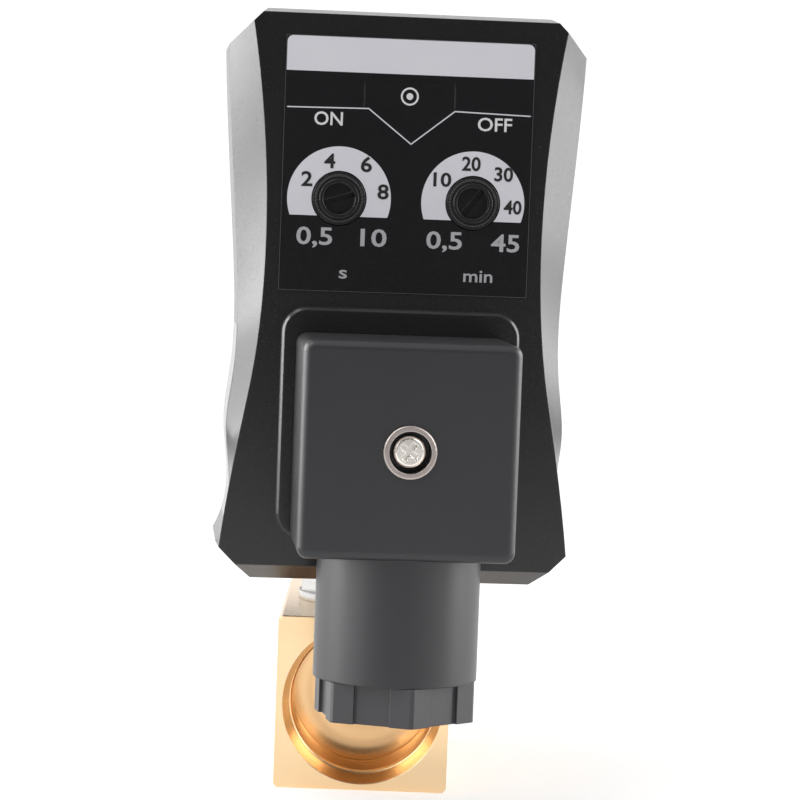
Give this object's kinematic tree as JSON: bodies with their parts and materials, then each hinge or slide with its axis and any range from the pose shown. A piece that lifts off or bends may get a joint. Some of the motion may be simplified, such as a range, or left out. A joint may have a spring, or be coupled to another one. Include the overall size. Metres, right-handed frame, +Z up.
{
  "type": "automatic drain valve",
  "caption": "Solenoid drain valve with a timer: brass body with two threaded ports, coil on an armature tube, dial timer and cable plug with gland.",
  "frame": {"origin": "centre of the valve body's flat underside, on the armature tube's axis", "axes": "+Z up the armature tube, -Y out of the inlet port, +X to the right as the timer's dials are read"},
  "size_m": [0.0495, 0.0874, 0.1085],
  "materials": {
    "brass": "machined",
    "stainless": "turned",
    "rubber": "moulded",
    "copper": "drawn wire",
    "zinc_steel": "zinc plated",
    "nickel": "nickel plated",
    "coil_plastic": "moulded, fine texture",
    "housing_plastic": "moulded satin black",
    "plug_plastic": "moulded fine matt black",
    "film": "printed film",
    "knob_plastic": "moulded gloss black",
    "board": "solder resist green",
    "component_black": "moulded",
    "trimmer_blue": "moulded",
    "bobbin_nylon": "moulded"
  },
  "bodies": {
    "valve": {"valve_body": "brass", "armature_tube": "stainless", "tube_o_ring": "rubber", "fixed_core": "stainless", "shading_ring": "copper", "plunger_spring": "stainless", "lower_coil_seal": "rubber", "upper_coil_seal": "rubber", "coil_washer": "zinc_steel", "coil_nut": "zinc_steel"},
    "head": {"coil_body": "coil_plastic", "coil_yoke": "zinc_steel", "coil_bobbin": "bobbin_nylon", "coil_winding": "copper", "coil_terminals": "nickel", "coil_gasket": "rubber", "timer_housing": "housing_plastic", "timer_rear_cover": "housing_plastic", "cover_screws": "zinc_steel", "front_terminals": "nickel", "timer_sockets": "nickel", "label_film": "film", "key_switch": "component_black", "circuit_board": "board", "board_screws": "zinc_steel", "on_time_trimmer": "trimmer_blue", "off_time_trimmer": "trimmer_blue", "timer_capacitor": "component_black", "timer_relay": "component_black", "timer_chip": "component_black", "plug_housing": "plug_plastic", "contact_carrier": "plug_plastic", "contact_clamps": "brass", "clamp_screws": "zinc_steel", "profile_gasket": "rubber", "screw_ring": "nickel", "centre_screw": "nickel", "gland_nut": "plug_plastic", "gland_washer": "plug_plastic", "gland_grommet": "rubber"},
    "plunger": {"plunger": "stainless", "plunger_seal": "rubber"},
    "on_time_knob": {"on_time_knob": "knob_plastic"},
    "off_time_knob": {"off_time_knob": "knob_plastic"},
    "test_key": {"test_key": "film"}
  },
  "joints": [
    {"name": "head_swivel", "type": "hinge", "parent": "valve", "child": "head", "pos_m": [0, 0, 0.0511], "axis": [0, 0, 1], "continuous": true},
    {"name": "plunger_lift", "type": "slide", "parent": "valve", "child": "plunger", "axis": [0, 0, 1], "range_m": [0, 0.002], "stiffness_N_per_m": 250, "springref_m": -0.006, "deforming": ["plunger_spring"]},
    {"name": "on_time_turn", "type": "hinge", "parent": "head", "child": "on_time_knob", "pos_m": [-0.00539, -0.04309, 0.08345], "axis": [0.0828, -0.9966, 0], "range_deg": [-68, 216]},
    {"name": "off_time_turn", "type": "hinge", "parent": "head", "child": "off_time_knob", "pos_m": [0.01243, -0.04161, 0.08345], "axis": [0.0828, -0.9966, 0], "range_deg": [-103, 181]},
    {"name": "test_press", "type": "slide", "parent": "head", "child": "test_key", "axis": [-0.0828, 0.9966, 0], "range_m": [0, 0.0004], "stiffness_N_per_m": 1500, "springref_m": -0.0006}
  ]
}
